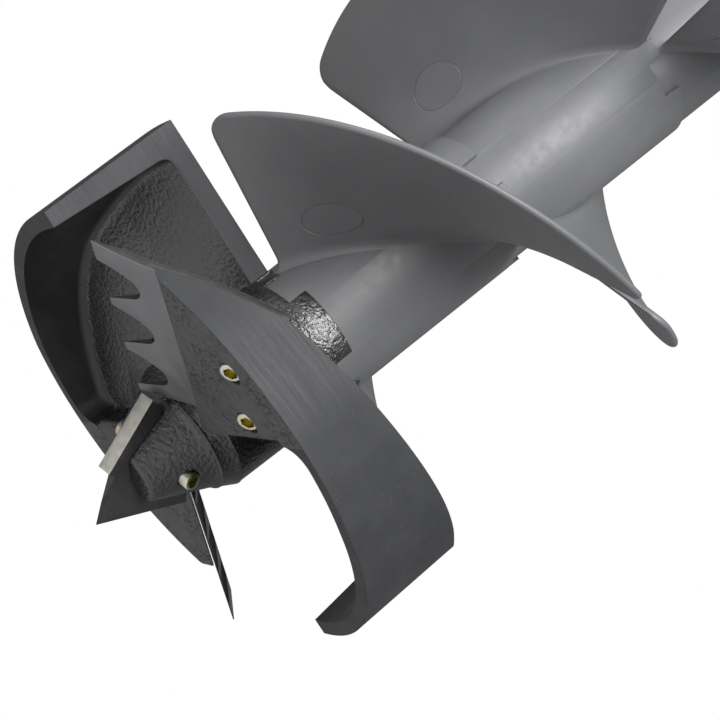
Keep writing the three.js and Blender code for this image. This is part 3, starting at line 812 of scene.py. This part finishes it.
def make_cutting_head():
    turn = CUTTER_AZIMUTH
    wedge = mesh_object("wedge", *wedge_part(), turn=turn)
    cut(wedge, above_seat_part(), turn)
    cut(wedge, front_feather_part(), turn)
    cut(wedge, wedge_rear_part(), turn)
    wedge_mesh = wedge.data
    core = rounded([(0, NOSE_BOTTOM - 1), (NOSE_TIP_R, NOSE_BOTTOM),
                    (NOSE_TOP_R - 0.7, HUB_BOTTOM - 1.5),
                    (NOSE_TOP_R + 0.3, HUB_BOTTOM - 0.6), (NOSE_TOP_R + 0.3, HUB_BOTTOM + 0.7),
                    (HUB_WAIST_R, HUB_WAIST), (HUB_R, 97.0), (0, 97.0)],
                   [0, 1.5, 0, 0.5, 0, 1.2, 0, 0], 3)
    cast = gathered(half_turns([wing_part()]) + [lathe(core, 128)])
    head = mesh_object("cutting_head_cast", *cast, turn=turn)
    # Both wedges join the wings and hub as loose shells; the voxel remesh makes them one skin
    work = bmesh.new()
    work.from_mesh(head.data)
    for spin in (0, 180):
        copy = wedge_mesh.copy()
        copy.transform(Matrix.Rotation(math.radians(spin), 4, "Z"))
        work.from_mesh(copy)
    work.to_mesh(head.data)
    work.free()
    bpy.data.objects.remove(wedge)
    remesh(head, 0.75, 4)

    # Machining: turned outside, sawn trailing faces, faced rims, slot, holes and blade seats
    envelope = lathe([(0, 0), (SKIRT_R, 0), (SKIRT_R, 200), (0, 200)], 256)
    boolean(head, envelope, "INTERSECT", turn)
    gap = 35.0
    trailing = [sector(SCOOP_END + gap / 2, gap, HUB_R + 0.4, 120, 0, 200, 24)]
    cut(head, gathered(half_turns(trailing)), turn)
    cut(head, gathered(half_turns([rim_cut_part()])), turn)
    cut(head, gathered(half_turns([blade_pocket_part()])), turn)
    holes = [screw_hole_part(spot) for spot in SCREW_SPOTS]
    cut(head, gathered(half_turns(holes)), turn)
    slot = box_points((-60, -POINT_HALF - GAP, 0), (60, POINT_HALF + GAP, 39.0))
    cut(head, slot, turn)
    across = lifted(NOSE_SCREW_HEIGHT) @ Matrix.Rotation(math.pi / 2, 4, "X")
    hole = NOSE_SCREW_HEAD_R + GAP
    nose_holes = moved(lathe([(0, -60), (hole, -60), (hole, 60), (0, 60)], 40), across)
    cut(head, nose_holes, turn)
    cavity = lathe([(0, HUB_FLOOR), (HUB_CAVITY_R, HUB_FLOOR), (HUB_CAVITY_R, 200), (0, 200)], 96)
    cut(head, cavity, turn)

    collar = lathe([(HUB_CAVITY_R, 95.0), (HUB_R, 95.0), (HUB_R, FIRST_JOINT),
                    (HUB_CAVITY_R, FIRST_JOINT)], 128)
    lugs = mesh_object("lugs", *collar, turn=turn)
    slots = [sector(TAB_CENTRE - turn + 90 * k, TAB_ANGLE, 10, 40,
                    FIRST_JOINT - LUG_DEPTH, FIRST_JOINT + 5) for k in range(LUG_COUNT)]
    cut(lugs, gathered(slots), turn)
    bevel(lugs, 0.4)
    combine(head, lugs, "UNION")
    shoulder = lathe([(18, HUB_BOTTOM - 0.4), (NOSE_TOP_R + 0.5, HUB_BOTTOM - 0.4),
                      (NOSE_TOP_R + 0.9, HUB_BOTTOM), (NOSE_TOP_R + 0.9, HUB_BOTTOM + 0.9),
                      (HUB_WAIST_R + 0.2, HUB_WAIST + 0.2), (18, HUB_WAIST + 0.2)], 128)
    boolean(head, shoulder, "UNION", turn)
    tidy_normals(head, 38)
    finish_piece(head, "root", ["cutting_head"], "cast_iron_black", CAST, TURNED, PITTED_LIT, SMOOTH)
    trailing_angles = [math.radians(turn + SCOOP_END + spin) for spin in (0, 180)]

    def machined(centre, normal):
        radius = math.hypot(centre.x, centre.y)
        if radius > SKIRT_R - 0.3 and abs(normal.z) < 0.3:
            return True
        for a in trailing_angles:
            along = Vector((-math.sin(a), math.cos(a), 0))
            if normal.dot(along) > 0.98 and abs(centre.dot(along)) < 0.5:
                return True
        azimuth = (math.degrees(math.atan2(centre.y, centre.x)) - turn) % 180.0
        on_rim = radius > 83 and azimuth > SCOOP_START + 1
        return on_rim and normal.z < -0.98 and abs(centre.z - rim_height(0)) < RIM_RISE + 0.1

    # Downward faces under the wedges and hub get the lighter pitted material: painted light
    def underside(centre, normal):
        level = abs(centre.z - SKIRT_BOTTOM) < 3.5
        radius = math.hypot(centre.x, centre.y)
        return level and normal.z < -0.5 and NOSE_TOP_R + 2 < radius < SKIRT_R - 0.5

    # Inner wall faces get the darker smooth material: painted shade inside the scoop
    def shaded_inner_wall(centre, normal):
        radius = math.hypot(centre.x, centre.y)
        inward = -(centre.x * normal.x + centre.y * normal.y) / max(radius, 1e-6)
        return radius > 76 and inward > 0.35

    paint_faces(head, 3, shaded_inner_wall)
    paint_faces(head, 2, underside)
    paint_faces(head, 1, machined)
    return head


# ---- blades ----

def curve(start, control, end, steps=10):
    """Points of a quadratic curve, leaving out its start."""
    out = []
    for i in range(1, steps + 1):
        t = i / steps
        out.append(tuple((1 - t) ** 2 * a + 2 * t * (1 - t) * b + t * t * c
                         for a, b, c in zip(start, control, end)))
    return out


def blade_outline():
    tip, root = slant(TOOTH_Y), slant(GULLET_Y)
    last = TOOTH_TIPS[-1]
    points = [(BLADE_INNER, slant(BLADE_REAR - 9)), (BLADE_INNER, slant(24)), (22, slant(13.8))]
    points.append((TOOTH_TIPS[0] - TOOTH_WIDTH, tip))
    for x, ahead in zip(TOOTH_TIPS, TOOTH_TIPS[1:]):
        width = OUTER_TOOTH_WIDTH if ahead == last else TOOTH_WIDTH
        points.append((x, tip))
        corner = (x + 0.9, root - 4)
        points.append(corner)
        points += curve(corner, (x + 1.2, root), (x + 5.5, root), 8)
        points += curve((x + 5.5, root), (ahead - width - 8, root), (ahead - width, tip), 14)
    points.append((last, tip))
    points += curve((last, tip), (last - 7.5, slant(5)), (last - 9.8, slant(14)), 10)
    points += curve((last - 9.8, slant(14)), (last - 13.3, slant(35)),
                    (BLADE_REAR_X, slant(BLADE_REAR)), 14)
    return points


def make_blade(index):
    turn = CUTTER_AZIMUTH + 180 * index
    plate = moved(prism(blade_outline(), 0, BLADE_THICKNESS), tilt_matrix())
    blade = mesh_object(f"serrated_blade_{index + 1}_steel", *plate, turn=turn)
    holes = gathered([screw_hole_part(spot) for spot in SCREW_SPOTS])
    cut(blade, holes, turn)
    # The teeth are ground from above, down to a thin chisel edge
    grind = box_points((-10, -40, 0), (130, 0, 20))
    place = (tilt_matrix() @ Matrix.Translation((0, slant(2.5), BLADE_THICKNESS))
             @ Matrix.Rotation(math.radians(14), 4, "X"))
    cut(blade, moved(grind, place), turn)
    bevel(blade, 0.18, 30)
    tidy_normals(blade, 30)
    finish_piece(blade, "root", [f"serrated_blade_{index + 1}"], "blade_steel", BLADE, BLADE_EDGE)
    flat = Matrix.Rotation(math.radians(turn), 3, "Z") @ Matrix.Rotation(BLADE_TILT, 3, "X")
    blade_normal = flat @ Vector((0, 0, 1))
    paint_faces(blade, 1, lambda centre, normal: abs(normal.dot(blade_normal)) < 0.3)


def socket_screw(name, node, turn, place, head, shank, socket):
    """Socket-head screw: its head rises from Z 0 of `place`, its shank goes down from there."""
    (head_r, head_h), (shank_r, shank_length), (socket_r, socket_depth) = head, shank, socket
    body = rounded([(0, -shank_length), (shank_r, -shank_length), (shank_r, 0), (head_r, 0),
                    (head_r, head_h), (0, head_h)],
                   [0, 0.5, 0, 0.2, 0.6, 0], 3)
    screw = mesh_object(name, *moved(lathe(body, 48), place), turn=turn)
    floor = head_h - socket_depth
    cut(screw, moved(hex_part(socket_r, floor, head_h + 5), place), turn)
    tidy_normals(screw, 40)
    # The screw's outside takes the pale plating, a painted highlight; its socket keeps the yellow
    # plating
    finish_piece(screw, "root", [node], "yellow_zinc", PALE_ZINC_SHEEN, YELLOW)
    back = place.inverted() @ Matrix.Rotation(-math.radians(turn), 4, "Z")

    def in_socket(centre, normal):
        x, y, z = back @ centre
        return math.hypot(x, y) < socket_r and floor - 0.05 < z < head_h - 0.05

    paint_faces(screw, 1, in_socket)


def hex_part(corner_r, bottom, top):
    outline = [polar(corner_r, math.radians(60 * i), 0)[:2] for i in range(6)]
    return prism(outline, bottom, top)


def make_blade_screw(index):
    """Socket-head screw from below, with its nut on top of the blade."""
    half, which = divmod(index, len(SCREW_SPOTS))
    spot = SCREW_SPOTS[which]
    turn = CUTTER_AZIMUTH + 180 * half
    seat = BLADE_THICKNESS + GAP
    under_head = screw_face(spot) + SCREW_HEAD_H
    place = (screw_place(spot) @ lifted(under_head)
             @ Matrix.Rotation(math.pi, 4, "X"))
    length = seat + BLADE_NUT_H + 1 - under_head
    socket_screw(f"blade_screw_{index + 1}_zinc", f"blade_screw_{index + 1}", turn, place,
                 (SCREW_HEAD_R, SCREW_HEAD_H), (SCREW_R, length), (2.7, 2.8))

    node = f"blade_nut_{index + 1}"
    nut = hex_nut(f"{node}_zinc", BLADE_NUT_FLATS, SCREW_R + 0.1, 0, BLADE_NUT_H)
    nut.data.transform(lifted(-TIP_Z))
    lift = screw_place(spot) @ lifted(seat)
    lift.translation *= MM
    nut.data.transform(Matrix.Rotation(math.radians(turn), 4, "Z") @ lift)
    nut.data.transform(lifted(TIP_Z))
    finish_piece(nut, "root", [node], "yellow_zinc", YELLOW)


def hex_nut(name, flats, bore, bottom, top):
    """Nut with chamfered corners, standing on the axis."""
    corner = flats / math.sqrt(3)
    nut = mesh_object(name, *hex_part(corner, bottom, top))
    drop = (corner - flats / 2) * 0.8
    round_off = rounded([(0, bottom), (flats / 2, bottom), (corner + 0.1, bottom + drop),
                         (corner + 0.1, top - drop), (flats / 2, top), (0, top)], 0)
    boolean(nut, lathe(round_off, 64), "INTERSECT")
    hole = [(0, bottom - 1), (bore, bottom - 1), (bore, top + 1), (0, top + 1)]
    cut(nut, lathe(hole, 48))
    tidy_normals(nut, 30)
    return nut


# ---- centre point ----

def make_centre_point():
    """Flat spade whose tip is ground away on its leading face, and so ends on the other face."""
    turn = CUTTER_AZIMUTH
    step = [(8.6, 13.1), (11.6, 11.4)]
    outline = [(-5.8, 0), (1.4, 3.6), (2.6, 5.2), (5.4, 9.6), *step, (28.5, 36.5), (22.5, 38.5),
               (-22.5, 38.5), (-28.5, 36.5)]
    plate = bar_along_y(outline, -POINT_HALF, POINT_HALF)
    point = mesh_object("center_point_plate", *plate, turn=turn)
    grinding = Vector((-0.6, 1.372, 1)).normalized()
    tilt = grinding.to_track_quat("Z", "Y").to_matrix().to_4x4()
    below = moved(box_points((-40, -40, -40), (40, 40, 0)), lifted(7.59) @ tilt)
    (x1, z1), (x2, z2) = step
    far = z2 + (z2 - z1) / (x2 - x1) * (-15 - x2)
    limit = [(x2, z2), (-15, far), (-15, -5), (x2, -5)]
    wheel = mesh_object("wheel", *below, turn=turn)
    boolean(wheel, bar_along_y(limit, -10, 10), "INTERSECT", turn)
    combine(point, wheel, "DIFFERENCE")
    bevel(point, 0.2, 24)
    tidy_normals(point, 24)
    finish_piece(point, "root", ["center_point"], "bare_steel", DARK_PLATE, BARE)
    along = Vector(polar(1, math.radians(turn), 0))

    def ground(centre, normal):
        return normal.z < -0.4 and abs(normal.dot(along)) > 0.75 and centre.z > 11.0

    paint_faces(point, 1, ground)


def make_nose_screw(index):
    turn = CUTTER_AZIMUTH + 180 * index
    place = (lifted(NOSE_SCREW_HEIGHT) @ Matrix.Rotation(-math.pi / 2, 4, "X")
             @ lifted(NOSE_SCREW_SEAT))
    socket_screw(f"center_screw_{index + 1}_zinc", f"center_screw_{index + 1}", turn, place,
                 (NOSE_SCREW_HEAD_R, 9.0), (2.5, NOSE_SCREW_SEAT - GAP), (2.4, 3.5))


# ---- flight segments ----

def flight_half(radius):
    """Half the thickness of a flight, which thins towards its rim."""
    return FLIGHT_EDGE_HALF + FLIGHT_DRAFT * (FLIGHT_R - radius) / FLIGHT_R


def tab_gaps(bottom, seam):
    """The gaps between the tabs at the foot of a segment or of the cap."""
    clearance = math.degrees(SEAM / TUBE_BOTTOM_R)
    return [sector(45 + 90 * k, 60 + 2 * clearance, 15, 40, bottom - 5, seam)
            for k in range(LUG_COUNT)]


def flight_section(rim, thin):
    """Half outline of a flight: root fillet, drafted faces and a rounded rim."""
    top = []
    fillet = 4.5
    for r in (24.5, 26.0, 27.6, 28.2, 29.0, 30.0, 31.2, 32.6, 36.0, 45.0, 58.0, 72.0, 84.0):
        if r > rim - 3:
            break
        near = max(0.0, fillet - max(r - 27.6, 0.0))
        rise = fillet - math.sqrt(fillet ** 2 - near ** 2)
        top.append((r, flight_half(r) * thin + rise))
    while len(top) < 13:
        top.append((mix(top[-1][0], rim - 1.6, 0.5), top[-1][1]))
    half = FLIGHT_EDGE_HALF * thin
    for i in range(7):
        a = math.radians(15 * i)
        top.append((rim - half * (1 - math.sin(a)), half * math.cos(a)))
    return top


def flight_part(start):
    """One helical flight with rounded outer corners and softened end edges."""
    rings = []
    steps = 90
    for i in range(steps + 1):
        v = i / steps
        along = FLIGHT_SPAN * 0.5 * (1 - math.cos(math.pi * v))
        edge = min(along, FLIGHT_SPAN - along)
        from_end = FLIGHT_R * math.radians(edge)
        in_corner = max(0.0, FLIGHT_CORNER - from_end)
        rim = FLIGHT_R - FLIGHT_CORNER + math.sqrt(FLIGHT_CORNER ** 2 - in_corner ** 2)
        soft = min(1.0, 27 * math.radians(edge))
        thin = max(0.45, math.sqrt(1 - (1 - soft) ** 2))
        height = FIRST_JOINT + FLIGHT_LIFT + LEAD * along / 360
        a = math.radians(start + along)
        section = flight_section(rim, thin)
        ring = [polar(r, a, height + z) for r, z in section]
        ring += [polar(r, a, height - z) for r, z in reversed(section[:-1])]
        rings.append(ring)
    return loft(rings)


def ejector_ring(start):
    """Groove of the round ejector mark on a flight's underside."""
    middle, radius, groove = 44.0, 8.0, 0.22
    base = 25.5
    rings = []
    for i in range(64):
        phi = 2 * math.pi * i / 64
        ring = []
        for dr, dz in ((-groove, -1.0), (groove, -1.0), (groove, 0.28), (-groove, 0.28)):
            x = middle + (radius + dr) * math.cos(phi)
            y = (radius + dr) * math.sin(phi)
            r, az = math.hypot(x, y), math.degrees(math.atan2(y, x)) + base
            height = FIRST_JOINT + FLIGHT_LIFT + LEAD * az / 360 - flight_half(r)
            ring.append(polar(r, math.radians(start + az), height + dz))
        rings.append(ring)
    return closed_loft(rings)


def segment_mesh():
    """Tube with tabs below, notches above and two flights."""
    top = FIRST_JOINT + SEGMENT_PITCH
    bottom = FIRST_JOINT - LUG_DEPTH + GAP
    tube = lathe([(TUBE_BORE_R, bottom), (TUBE_BOTTOM_R, bottom), (TUBE_TOP_R, top),
                  (TUBE_BORE_R, top)], 120)
    body = mesh_object("segment", *tube)
    cuts = tab_gaps(bottom, FIRST_JOINT + SEAM)
    cuts += [sector(SEGMENT_TWIST + 90 * k, TAB_ANGLE, 15, 40, top - LUG_DEPTH, top + 5)
             for k in range(LUG_COUNT)]
    cut(body, gathered(cuts))
    bevel(body, 0.18)
    flights = gathered([flight_part(FLIGHT_START + side) for side in (0, 180)])
    boolean(body, flights, "UNION")
    marks = gathered([ejector_ring(FLIGHT_START + side) for side in (0, 180)])
    cut(body, marks)
    tidy_normals(body, 40)
    mesh = body.data
    bpy.data.objects.remove(body)
    return mesh


def make_segments():
    mesh = segment_mesh()
    for i in range(SEGMENT_COUNT):
        copy = mesh.copy()
        spin = Matrix.Rotation(math.radians(TAB_CENTRE + SEGMENT_TWIST * i), 4, "Z")
        copy.transform(lifted(SEGMENT_PITCH * i * MM) @ spin)
        segment = linked(f"flight_segment_{i + 1}_moulded", copy)
        finish_piece(segment, "root", [f"flight_segment_{i + 1}"], "flight_plastic", PLASTIC)


# ---- tie rod and drive end ----

def along_x(height):
    """Lays a piece made along Z out along +X, at a height."""
    return lifted(height) @ Matrix.Rotation(math.pi / 2, 4, "Y")


def bore_part(radius, height):
    """A hole from the axis out along +X."""
    return moved(lathe([(0, 0), (radius, 0), (radius, 45), (0, 45)], 48), along_x(height))


def cross_hole_part():
    hole = PIN_R + GAP
    return moved(lathe([(0, -30), (hole, -30), (hole, 30), (0, 30)], 32), along_x(PIN_HEIGHT))


def make_tie_rod():
    """Rod with separate rings round its top, which stand in for a thread; washer and nut."""
    top = CAP_FLOOR + WASHER_H + NUT_H + 4
    profile = [(0, ROD_BOTTOM), (ROD_R - 1, ROD_BOTTOM), (ROD_R, ROD_BOTTOM + 1)]
    z = top - 26
    while z < top - 2.5:
        profile += [(ROD_R, z), (ROD_R, z + 0.25), (ROD_R - 0.9, z + 1.0)]
        z += 1.75
    profile += [(ROD_R, z), (ROD_R - 1.2, top), (0, top)]
    rod = mesh_object("tie_rod_threaded", *lathe(profile, 64))
    finish_piece(rod, "root", ["tie_rod"], "zinc_steel", ZINC)
    seat = CAP_FLOOR + GAP
    ring = rounded([(ROD_R + GAP, seat), (WASHER_R, seat), (WASHER_R, seat + WASHER_H),
                    (ROD_R + GAP, seat + WASHER_H)], 0.4, 3)
    washer = mesh_object("tie_rod_washer_zinc", *lathe(ring, 64))
    finish_piece(washer, "root", ["tie_rod_washer"], "zinc_steel", ZINC)
    under = seat + WASHER_H + GAP
    nut = hex_nut("tie_rod_nut_zinc", NUT_FLATS, ROD_R + GAP, under, under + NUT_H)
    finish_piece(nut, "root", ["tie_rod_nut"], "zinc_steel", ZINC)


def make_top_cap():
    """Moulded end cap: tabs below, a floor for the nut and a hollow spigot for the adapter."""
    bottom = STACK_TOP - LUG_DEPTH + GAP
    inner = TUBE_BORE_R - GAP
    profile = rounded([(inner, bottom), (TUBE_BOTTOM_R, bottom), (TUBE_BOTTOM_R, CAP_TOP),
                       (SPIGOT_R, CAP_TOP), (SPIGOT_R, SPIGOT_TOP), (SPIGOT_BORE_R, SPIGOT_TOP),
                       (SPIGOT_BORE_R, CAP_FLOOR), (ROD_R + GAP, CAP_FLOOR),
                       (ROD_R + GAP, STACK_TOP + GAP), (inner, STACK_TOP + GAP)],
                      [0, 0, 3.0, 1.2, 1.2, 0.8, 1.0, 0.4, 0, 0], 5)
    turn = TAB_CENTRE + SEGMENT_TWIST * SEGMENT_COUNT
    cap = mesh_object("top_cap_moulded", *lathe(profile, 128), turn=turn)
    cut(cap, gathered(tab_gaps(bottom, STACK_TOP + SEAM)), turn)
    flutes = []
    low, high = STACK_TOP + 2, CAP_TOP + 1
    post = lathe([(0, low), (1.4, low), (1.4, high), (0, high)], 16)
    for k in range(24):
        place = Matrix.Translation(polar(TUBE_BOTTOM_R + 0.7, math.radians(15 * k), 0))
        flutes.append(moved(post, place))
    cut(cap, gathered(flutes))
    cut(cap, bore_part(BUTTON_R + GAP, BUTTON_HEIGHT))
    bevel(cap, 0.2)
    tidy_normals(cap, 40)
    finish_piece(cap, "root", ["top_cap"], "flight_plastic", PLASTIC)


def weld_part(radius, height, size, ripples):
    """Rippled weld bead round the axis."""
    rings = []
    steps = 240
    for i in range(steps):
        a = 2 * math.pi * i / steps
        swell = size * (1 + 0.07 * abs(math.sin(0.5 * ripples * a)))
        ring = []
        for k in range(12):
            t = 2 * math.pi * k / 12
            r = radius + swell * math.cos(t)
            ring.append(polar(r, a, height + swell * math.sin(t)))
        rings.append(ring)
    return closed_loft(rings)


def make_drive_adapter():
    """Steel cup over the spigot, with a welded boss for the shank."""
    inner, shank = SPIGOT_R + GAP, SHANK_ROOT_R + GAP
    bottom, floor = CAP_TOP + 2, SPIGOT_TOP + GAP
    profile = rounded([(inner, bottom), (CUP_R, bottom), (CUP_R, CUP_TOP), (BOSS_R, CUP_TOP),
                       (BOSS_R, BOSS_TOP), (shank, BOSS_TOP), (shank, floor), (inner, floor)],
                      [0.5, 0.8, 3.0, 0, 1.2, 0.5, 0.5, 0], 5)
    cup = mesh_object("drive_adapter_steel", *lathe(profile, 128))
    boolean(cup, weld_part(BOSS_R + 0.7, CUP_TOP + 0.6, 1.8, 34), "UNION")
    cut(cup, bore_part(BUTTON_R + GAP, BUTTON_HEIGHT))
    cut(cup, cross_hole_part())
    tidy_normals(cup, 40)
    finish_piece(cup, "root", ["drive_adapter"], "black_steel", BLACK)


def make_hex_shank():
    corner = SHANK_FLATS / math.sqrt(3)
    shoulder = BOSS_TOP + GAP
    shank = mesh_object("hex_shank_steel", *hex_part(corner, shoulder, TOTAL_LENGTH))
    ends = [(0, shoulder), (SHANK_FLATS / 2, shoulder), (corner + 0.2, shoulder + 1.2),
            (corner + 0.2, TOTAL_LENGTH - SHANK_CHAMFER - 0.9),
            (corner - SHANK_CHAMFER, TOTAL_LENGTH), (0, TOTAL_LENGTH)]
    boolean(shank, lathe(ends, 96), "INTERSECT")
    foot = SPIGOT_TOP + 1
    root = [(0, foot), (SHANK_ROOT_R - 0.6, foot), (SHANK_ROOT_R, SPIGOT_TOP + 1.6),
            (SHANK_ROOT_R, shoulder + 1), (0, shoulder + 1)]
    boolean(shank, lathe(root, 64), "UNION")
    cut(shank, cross_hole_part())
    bevel(shank, 0.2, 35)
    tidy_normals(shank, 35)
    finish_piece(shank, "root", ["hex_shank"], "zinc_steel", ZINC)
    reach = BOSS_R - 0.5
    ends = [(0, -reach), (PIN_R, -reach), (PIN_R, reach), (0, reach)]
    profile = rounded(ends, [0, 0.6, 0.6, 0], 4)
    pin = mesh_object("shank_pin_steel", *moved(lathe(profile, 40), along_x(PIN_HEIGHT)))
    finish_piece(pin, "root", ["shank_pin"], "black_steel", BLACK)


def make_snap_button():
    """Flanged button with a domed end."""
    flange_r, (low, high) = 5.0, (8.4, 10.2)
    profile = rounded([(0, low), (flange_r, low), (flange_r, high), (BUTTON_R, high),
                       (BUTTON_R, BUTTON_REACH - 1.5), (BUTTON_R - 1.5, BUTTON_REACH - 0.2),
                       (0, BUTTON_REACH)],
                      [0, 0.3, 0.3, 0.4, 1.2, 1.5, 0], 4)
    button = mesh_object("snap_button_steel", *moved(lathe(profile, 64), along_x(BUTTON_HEIGHT)))
    finish_piece(button, "button", ["snap_button"], "zinc_steel", ZINC)


# ---- camera, light and floor ----

def make_camera():
    """Below and in front of the point, looking up along the auger, rolled onto its side."""
    data = bpy.data.cameras.new("camera")
    data.sensor_width = 36.0
    data.lens = 118.95
    data.clip_end = 20.0
    camera = linked("camera", data)
    right = Vector((0.6329, -0.2936, 0.7164))
    back = Vector((0.0, -0.9253, -0.3792))
    up = back.cross(right)
    axes = Matrix((right, up, back)).transposed().to_4x4()
    camera.matrix_world = Matrix.Translation((0.01975, -0.81411, TIP_Z - 0.21712)) @ axes
    bpy.context.scene.camera = camera


def make_area_light(name, location, target, size, power, glossy=True):
    data = bpy.data.lights.new(name, "AREA")
    data.shape = "RECTANGLE"
    data.size, data.size_y = size
    data.energy = power
    light = linked(name, data)
    light.visible_glossy = glossy
    light.location = location
    aim = Vector(target) - Vector(location)
    light.rotation_euler = aim.to_track_quat("-Z", "Y").to_euler()


def make_studio():
    world = bpy.data.worlds.new("studio")
    world.use_nodes = True
    nodes, links = world.node_tree.nodes, world.node_tree.links
    background = nodes["Background"]
    background.inputs["Color"].default_value = (0.97, 0.98, 1.0, 1)
    background.inputs["Strength"].default_value = 0.2
    plain = nodes.new("ShaderNodeBackground")
    plain.inputs["Color"].default_value = (1, 1, 1, 1)
    plain.inputs["Strength"].default_value = 1.0
    path = nodes.new("ShaderNodeLightPath")
    choose = nodes.new("ShaderNodeMixShader")
    links.new(path.outputs["Is Camera Ray"], choose.inputs[0])
    links.new(background.outputs[0], choose.inputs[1])
    links.new(plain.outputs[0], choose.inputs[2])
    links.new(choose.outputs[0], nodes["World Output"].inputs["Surface"])
    bpy.context.scene.world = world
    bpy.context.scene.view_settings.view_transform = "Standard"
    middle = (0, 0, TIP_Z + 0.12)

    def place(direction, distance):
        return [m + distance * d for m, d in zip(middle, direction)]

    make_area_light("front", place((0.1, -0.92, 0.38), 1.5), middle, (0.9, 0.9), 34)
    make_area_light("side", place((-0.74, -0.54, 0.38), 1.7), middle, (0.8, 0.8), 10)
    make_area_light("right", place((0.9, 0.2, 0.38), 1.7), middle, (1.2, 1.2), 9, glossy=False)
    make_area_light("back", place((0.5, 0.8, 0.38), 1.7), middle, (1.2, 1.2), 7, glossy=False)


def make_floor():
    size, drop = 6.0, 0.75
    corners = [(-size, -size), (size, -size), (size, size), (-size, size)]
    mesh = bpy.data.meshes.new("floor")
    mesh.from_pydata([(x, y, TIP_Z - drop) for x, y in corners], [], [(0, 1, 2, 3)])
    floor = linked("floor", mesh)
    s = Shader("floor_pale", (0.8, 0.8, 0.8), 0.8)
    s.mottled((3, 2), 0.3, 0.7, (0.79, 0.79, 0.79), (0.83, 0.83, 0.83))
    floor.data.materials.append(s.material)


make_camera()
make_studio()
make_floor()
make_cutting_head()
for number in (0, 1):
    make_blade(number)
    make_nose_screw(number)
for number in range(2 * len(SCREW_SPOTS)):
    make_blade_screw(number)
make_centre_point()
make_segments()
make_tie_rod()
make_top_cap()
make_drive_adapter()
make_hex_shank()
make_snap_button()

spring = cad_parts["button_spring"].data
spring.materials.clear()
spring.materials.append(ZINC)
